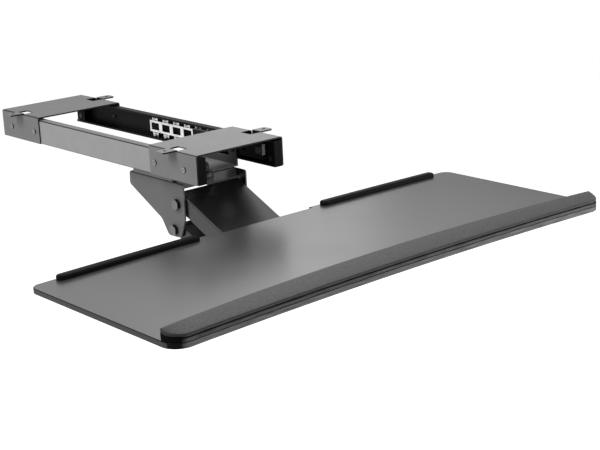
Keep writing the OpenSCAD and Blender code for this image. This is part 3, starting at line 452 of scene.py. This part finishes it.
def palm_back(x, margin):
    return PALM_INNER - PALM_BOW - margin + arch(x, PALM_BOW)


def span(start, stop, count):
    return [start + (stop - start) * i / count for i in range(count + 1)]


def corner(before, point, after, radius, count):
    """Points that round off the corner at a point, between its sides to those beside it."""
    first = (before - point).normalized()
    second = (after - point).normalized()
    half = math.acos(max(-1.0, min(1.0, first.dot(second)))) / 2
    centre = point + (first + second).normalized() * radius / math.sin(half)
    start = point + first * radius / math.tan(half) - centre
    stop = point + second * radius / math.tan(half) - centre
    made = []
    for i in range(count + 1):
        turned = start.slerp(stop, i / count)
        made.append(centre + turned.normalized() * radius)
    return made


def rounded(spots, count):
    """Closed outline through pairs of a point and its corner's radius."""
    made = []
    for i, (point, radius) in enumerate(spots):
        if radius > 0:
            after = spots[(i + 1) % len(spots)][0]
            made += corner(spots[i - 1][0], point, after, radius, count)
        else:
            made.append(point)
    return made


def spot(edge, x, radius=0):
    return Vector((x, edge(x))), radius


def run(edge, places):
    return [spot(edge, x) for x in places]


def board_outline(margin):
    """Closed outline of the board, drawn in by a margin, from the right rear corner."""
    half = BOARD_HALF - margin
    reach = half - CORNER_REACH
    recess = RECESS_HALF + margin
    rear_round = REAR_CORNER - margin
    front_round = FRONT_CORNER - margin

    def rear(x):
        return rear_edge(x, margin)

    def notch(x):
        return rear_edge(x, margin) - RECESS_DEPTH

    def front(x):
        return front_edge(x, margin)

    spots = [spot(rear, half, rear_round)]
    spots += run(rear, span(reach, recess, REAR_STEPS)[:-1])
    spots += [spot(rear, recess, RECESS_CORNER), spot(notch, recess, RECESS_CORNER)]
    spots += run(notch, span(recess, -recess, REAR_STEPS)[1:-1])
    spots += [spot(notch, -recess, RECESS_CORNER), spot(rear, -recess, RECESS_CORNER)]
    spots += run(rear, span(-recess, -reach, REAR_STEPS)[1:])
    spots += [spot(rear, -half, rear_round), spot(front, -half, front_round)]
    spots += run(front, span(-reach, reach, FRONT_STEPS))
    spots.append(spot(front, half, front_round))
    return rounded(spots, BOARD_ROUND)


def palm_outline(margin):
    """Closed outline of the palm rest: inner edge from left to right, then back in front."""
    half = BOARD_HALF - margin
    reach = half - PALM_END
    back_round = max(PALM_CORNER - margin, LEAST_PALM_CORNER)
    front_round = FRONT_CORNER - margin

    def back(x):
        return palm_back(x, margin)

    def front(x):
        return front_edge(x, margin)

    spots = [spot(back, -half, back_round)]
    spots += run(back, span(-reach, reach, PALM_STEPS))
    spots += [spot(back, half, back_round), spot(front, half, front_round)]
    spots += run(front, span(reach, -reach, PALM_STEPS))
    spots.append(spot(front, -half, front_round))
    return rounded(spots, PALM_ROUND)


def stop_outline(margin, side):
    """Closed outline of the left stop, with side -1, or of the right one, with side 1."""
    half = STOP_DEPTH / 2 - margin
    end_round = max(half - STOP_END_FLAT, LEAST_STOP_CORNER)

    def middle(x):
        return rear_edge(x, 0) - STOP_DEPTH / 2 - STOP_SETBACK

    def front(x):
        return middle(x) - half

    def rear(x):
        return middle(x) + half

    places = [side * x for x in span(STOP_INNER + margin, STOP_OUTER - margin, STOP_STEPS)]
    inner, *between, outer = places
    spots = [spot(front, inner, end_round)]
    spots += run(front, between)
    spots += [spot(front, outer, end_round), spot(rear, outer, end_round)]
    spots += run(rear, reversed(between))
    spots.append(spot(rear, inner, end_round))
    return rounded(spots, STOP_ROUND)


# Meshes

def make_object(name, mesh_maker, material, angle):
    """Object from a maker that fills a bmesh; edges sharper than the angle stay sharp."""
    mesh = bpy.data.meshes.new(name)
    bm = bmesh.new()
    mesh_maker(bm)
    bmesh.ops.remove_doubles(bm, verts=bm.verts, dist=1e-6)
    bmesh.ops.recalc_face_normals(bm, faces=bm.faces)
    bm.to_mesh(mesh)
    bm.free()
    for face in mesh.polygons:
        face.use_smooth = True
    mesh.set_sharp_from_angle(angle=math.radians(angle))
    obj = bpy.data.objects.new(name, mesh)
    bpy.context.scene.collection.objects.link(obj)
    mesh.materials.append(material)
    return obj


def add_ring(bm, outline, height):
    """Adds one loop of vertices; height is a number or a function of x and y."""
    ring = []
    for point in outline:
        z = height(point.x, point.y) if callable(height) else height
        ring.append(bm.verts.new((point.x, point.y, z)))
    return ring


def add_sides(bm, steps):
    """Adds a wall through pairs of an outline and its height, and returns its loops."""
    rings = [add_ring(bm, outline, height) for outline, height in steps]
    for low, high in zip(rings, rings[1:]):
        for i in range(len(low)):
            after = (i + 1) % len(low)
            bm.faces.new((low[i], low[after], high[after], high[i]))
    return rings


def close_strip(bm, ring, runs, height, rows):
    """Closes a long strip whose ring runs along one side and back along the other. Runs gives
    the places in the ring where the two matching runs start, and their count of steps."""
    first, second, count = runs
    columns = []
    for i in range(count + 1):
        near, far = ring[first + i], ring[second + count - i]
        column = [near]
        for k in range(1, rows):
            place = near.co.lerp(far.co, k / rows)
            place.z = height(place.x, place.y)
            column.append(bm.verts.new(place))
        column.append(far)
        columns.append(column)
    for left, right in zip(columns, columns[1:]):
        for k in range(rows):
            bm.faces.new((left[k], left[k + 1], right[k + 1], right[k]))
    size = len(ring)
    end = [ring[(second + count + i) % size] for i in range(size - second - count + first + 1)]
    bm.faces.new(end + columns[0][1:-1])
    end = [ring[i] for i in range(first + count, second + 1)]
    bm.faces.new(end + columns[-1][1:-1][::-1])


# The palm outline's two runs start after one and after three rounded corners
PALM_BEND = PALM_ROUND + 1
PALM_RUNS = (PALM_BEND, 3 * PALM_BEND + PALM_STEPS + 1, PALM_STEPS)


def wedge_z(x, y):
    """Height of the wedge's slope, from the front edge up to the inner edge."""
    over = min(FRONT_CORNER, max(0.0, abs(x) - BOARD_HALF + FRONT_CORNER))
    front = front_edge(x, 0) + FRONT_CORNER - math.sqrt(FRONT_CORNER ** 2 - over ** 2)
    back = palm_back(x, 0)
    share = max(0.0, min(1.0, (y - front) / (back - front)))
    return BOARD_TOP + PALM_BASE + PALM_RISE * share


def under_wedge(drop):
    """Height of the wedge's slope, less a drop."""
    def height(x, y):
        return wedge_z(x, y) - drop
    return height


def pad_top(drop):
    """Height of the pad's skin over the wedge, crowned across, less a drop."""
    def height(x, y):
        slope = wedge_z(x, y)
        share = (slope - BOARD_TOP - PALM_BASE) / PALM_RISE
        crown = PAD_CROWN * (1 - (2 * share - 1) ** 2)
        return slope + PAD_GAP + PAD_SHEET + crown - drop
    return height


def build_pad(bm):
    steps = [(palm_outline(margin * MM), under_wedge(-PAD_GAP - height * MM))
             for margin, height in PAD_FOOT]
    for step in range(ROLL_STEPS + 1):
        turn = math.radians(90 * step / ROLL_STEPS)
        margin = PAD_SIDE + PAD_ROLL * (1 - math.cos(turn))
        steps.append((palm_outline(margin), pad_top(PAD_ROLL * (1 - math.sin(turn)))))
    steps.append((palm_outline(PAD_INSET), pad_top(0)))
    rings = add_sides(bm, steps)
    close_strip(bm, rings[-1], PALM_RUNS, pad_top(0), rows=8)


pad = make_object("palm_rest_pad", build_pad, MATERIALS["pad_leather"], angle=60)
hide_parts("palm_pad")
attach(pad, "tray")


def build_palm_base(bm):
    steps = [(palm_outline(margin * MM), BOARD_TOP + height * MM)
             for margin, height in BASE_FOOT]
    steps += [(palm_outline(margin * MM), under_wedge(drop * MM)) for margin, drop in BASE_RIM]
    rings = add_sides(bm, steps)
    close_strip(bm, rings[-1], PALM_RUNS, wedge_z, rows=2)


base = make_object("palm_rest_base", build_palm_base, MATERIALS["pad_plastic"], angle=50)
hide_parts("palm_base")
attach(base, "tray")


def build_edge_band(bm):
    steps = [(board_outline(margin * MM), BOARD_UNDER + height * MM)
             for margin, height in BAND_EDGE]
    steps += [(board_outline(margin * MM), BOARD_TOP - height * MM)
              for margin, height in reversed(BAND_EDGE)]
    add_sides(bm, steps)


band = make_object("edge_band", build_edge_band, MATERIALS["edge_plastic"], angle=50)
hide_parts("edge_strip")
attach(band, "tray")


def stop_maker(side):
    def build(bm):
        steps = [(stop_outline(0, side), BOARD_TOP)]
        steps += [(stop_outline(margin * MM, side), STOP_TOP - drop * MM)
                  for margin, drop in STOP_CROWN]
        rings = add_sides(bm, steps)
        bm.faces.new(rings[-1])
        bm.faces.new(rings[0])
    return build


for side, node in ((-1, "left_stop"), (1, "right_stop")):
    bar = make_object(node + "_bar", stop_maker(side), STOP_PLASTIC, angle=50)
    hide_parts(node)
    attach(bar, "tray")


# Floor, light and camera

FLOOR_HALF = 30.0
FLOOR_LEVEL = -0.72
FLOOR_TONE = 0.85
FLOOR_GLOW = 0.65
CARD_NEAR = (1.75, 1.35)
CARD_FAR = (2.75, 0.2)
CARD_LOW = 0.05
CARD_HIGH = 1.5
CARD_TONE = 0.04
WORLD_LEVEL = 0.42
# The camera's place in metres, its angles in degrees and its focal length in the picture's
# pixels, as worked out from the straight edges in the photograph
CAMERA_PLACE = (-1.0784, -1.6121, 0.3944)
CAMERA_YAW = 40.53
CAMERA_PITCH = 16.13
CAMERA_ROLL = 2.57
FOCAL_PIXELS = 1396
PICTURE_PIXELS = 600
SENSOR_WIDTH = 36


def flat_sheet(name, corners, mat):
    mesh = bpy.data.meshes.new(name)
    mesh.from_pydata(corners, [], [(0, 1, 2, 3)])
    mesh.materials.append(mat)
    obj = bpy.data.objects.new(name, mesh)
    bpy.context.scene.collection.objects.link(obj)
    return obj


def light_floor():
    """Pale floor, far below, that shows white to the camera and still takes shadows. It is
    clear to rays from underneath, so that the tray can be seen from there too."""
    mat, tree, surface = empty_material("floor")
    diffuse = tree.nodes.new("ShaderNodeBsdfDiffuse")
    diffuse.inputs["Color"].default_value = (FLOOR_TONE, FLOOR_TONE, FLOOR_TONE, 1)
    path = tree.nodes.new("ShaderNodeLightPath")
    seen = maths(tree, "MAXIMUM", path.outputs["Is Camera Ray"], path.outputs["Is Glossy Ray"])
    glow = tree.nodes.new("ShaderNodeEmission")
    tree.links.new(maths(tree, "MULTIPLY", seen, FLOOR_GLOW), glow.inputs["Strength"])
    both = tree.nodes.new("ShaderNodeAddShader")
    tree.links.new(diffuse.outputs[0], both.inputs[0])
    tree.links.new(glow.outputs[0], both.inputs[1])
    clear = tree.nodes.new("ShaderNodeBsdfTransparent")
    which = tree.nodes.new("ShaderNodeNewGeometry")
    split = tree.nodes.new("ShaderNodeMixShader")
    tree.links.new(which.outputs["Backfacing"], split.inputs["Fac"])
    tree.links.new(both.outputs[0], split.inputs[1])
    tree.links.new(clear.outputs[0], split.inputs[2])
    tree.links.new(split.outputs[0], surface)
    corners = [(x * FLOOR_HALF, y * FLOOR_HALF, FLOOR_LEVEL)
               for x, y in ((-1, -1), (1, -1), (1, 1), (-1, 1))]
    floor = flat_sheet("floor", corners, mat)


def grey_card():
    """Card at the right, outside the picture, which the far end of the tray mirrors."""
    mat, _, shader = new_material("card")
    shader.inputs["Base Color"].default_value = (CARD_TONE, CARD_TONE, CARD_TONE, 1)
    corners = [(*CARD_NEAR, CARD_LOW), (*CARD_FAR, CARD_LOW), (*CARD_FAR, CARD_HIGH),
               (*CARD_NEAR, CARD_HIGH)]
    card = flat_sheet("card", corners, mat)
    card.visible_camera = False


def white_background(tree, level):
    node = tree.nodes.new("ShaderNodeBackground")
    node.inputs["Color"].default_value = (1, 1, 1, 1)
    node.inputs["Strength"].default_value = level
    return node.outputs[0]


def light_world():
    """Plain white all round: at its own level as light, and full white where it is seen."""
    world = bpy.data.worlds.new("studio")
    bpy.context.scene.world = world
    world.use_nodes = True
    tree = world.node_tree
    tree.nodes.clear()
    out = tree.nodes.new("ShaderNodeOutputWorld")
    path = tree.nodes.new("ShaderNodeLightPath")
    seen = maths(tree, "MAXIMUM", path.outputs["Is Camera Ray"], path.outputs["Is Glossy Ray"])
    seen = maths(tree, "MAXIMUM", seen, path.outputs["Is Transmission Ray"])
    mix = tree.nodes.new("ShaderNodeMixShader")
    tree.links.new(seen, mix.inputs["Fac"])
    tree.links.new(white_background(tree, WORLD_LEVEL), mix.inputs[1])
    tree.links.new(white_background(tree, 1.0), mix.inputs[2])
    tree.links.new(mix.outputs[0], out.inputs["Surface"])


def area_light(name, place, target, size, power):
    """Round lamp at a place, turned to a target, with its size in metres and power in watts."""
    data = bpy.data.lights.new(name, "AREA")
    data.shape = "DISK"
    data.size = size
    data.energy = power
    lamp = bpy.data.objects.new(name, data)
    bpy.context.scene.collection.objects.link(lamp)
    lamp.location = place
    lamp.visible_camera = False
    lamp.rotation_mode = "QUATERNION"
    lamp.rotation_quaternion = (Vector(target) - Vector(place)).to_track_quat("-Z", "Y")


def place_camera():
    yaw, pitch, roll = (math.radians(a) for a in (CAMERA_YAW, CAMERA_PITCH, CAMERA_ROLL))
    forward = Vector((math.sin(yaw) * math.cos(pitch), math.cos(yaw) * math.cos(pitch),
                      -math.sin(pitch)))
    right = Vector((math.cos(yaw), -math.sin(yaw), 0))
    down = forward.cross(right)
    across = math.cos(roll) * right + math.sin(roll) * down
    fall = math.cos(roll) * down - math.sin(roll) * right
    data = bpy.data.cameras.new("camera")
    data.sensor_width = SENSOR_WIDTH
    data.lens = SENSOR_WIDTH * FOCAL_PIXELS / PICTURE_PIXELS
    data.clip_start = 0.1
    data.clip_end = 100
    cam = bpy.data.objects.new("camera", data)
    bpy.context.scene.collection.objects.link(cam)
    turn = Matrix((across, -fall, -forward)).transposed().to_4x4()
    cam.matrix_world = Matrix.Translation(CAMERA_PLACE) @ turn
    bpy.context.scene.camera = cam


light_floor()
grey_card()
light_world()
area_light("key", place=(-1.7, 0.1, 1.5), target=(0, -0.2, -0.1), size=1.4, power=30)
area_light("fill", place=(1.5, 0.9, 1.2), target=(0, -0.2, -0.1), size=1.6, power=8)
area_light("top", place=(0.15, -0.12, 0.62), target=(0.05, -0.1, 0), size=0.3, power=1.6)
area_light("low_front", place=(0.95, -1.15, -0.05), target=(0.2, -0.5, -0.1), size=0.45, power=8)
place_camera()
bpy.context.scene.view_settings.view_transform = "Standard"
